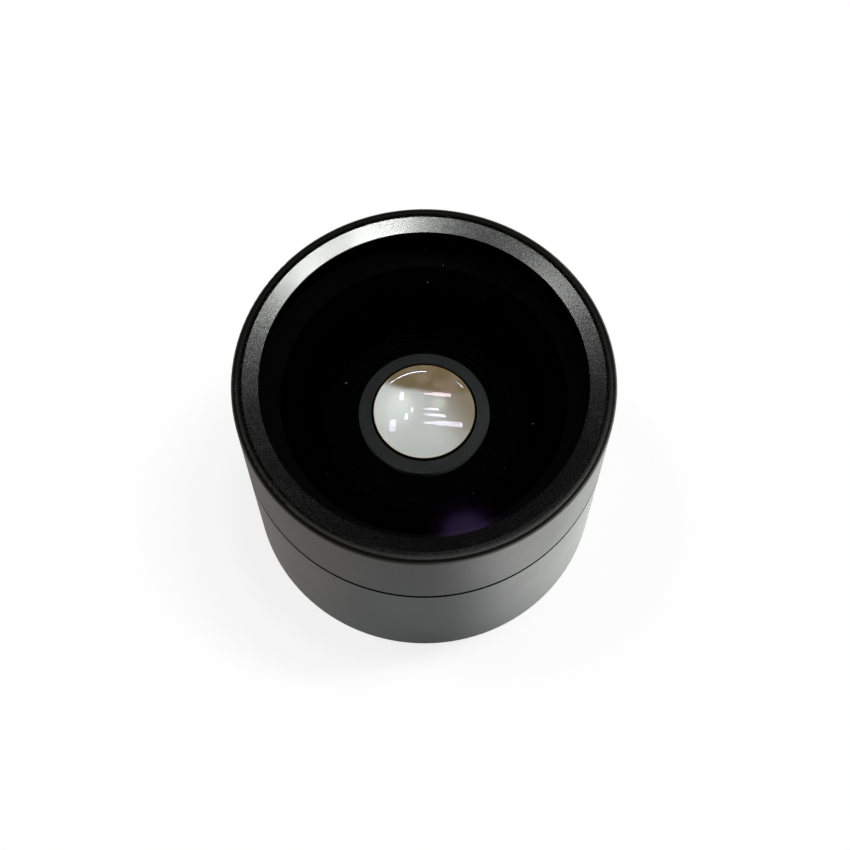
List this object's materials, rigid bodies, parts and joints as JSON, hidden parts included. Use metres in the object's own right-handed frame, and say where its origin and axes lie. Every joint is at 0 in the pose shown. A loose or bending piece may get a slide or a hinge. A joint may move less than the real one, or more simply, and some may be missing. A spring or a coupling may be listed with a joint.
{
  "type": "wide-angle lens attachment",
  "caption": "Wide-angle lens attachment: black anodised barrel with a large domed front glass, a small inner lens in a dark ring, a fine seam and a threaded rear socket.",
  "frame": {"origin": "centre of the flat rear end, on which the part stands", "axes": "+Z along the optical axis towards the front glass, +X and +Y across the barrel"},
  "size_m": [0.04, 0.04, 0.0324],
  "materials": {
    "black_anodised": "satin",
    "matt_black": "matt",
    "brass": "turned",
    "optical_glass": "polished, coated",
    "black_rubber": "matt"
  },
  "bodies": {
    "root": {"front_barrel": "black_anodised", "front_lens": "optical_glass", "front_lens_gasket": "black_rubber", "front_retaining_ring": "black_anodised", "light_baffle": "matt_black", "rear_barrel": "black_anodised", "joint_gasket": "black_rubber", "lens_cell": "black_anodised", "nose_ring": "black_anodised", "second_lens": "optical_glass", "air_gap_shim": "brass", "doublet_crown": "optical_glass", "doublet_flint": "optical_glass", "glare_stop": "matt_black", "glare_spacer": "brass", "rear_lens": "optical_glass", "rear_lens_washer": "black_rubber", "rear_retaining_ring": "black_anodised", "focus_shim": "brass", "cell_lock_ring": "black_anodised"}
  },
  "joints": []
}
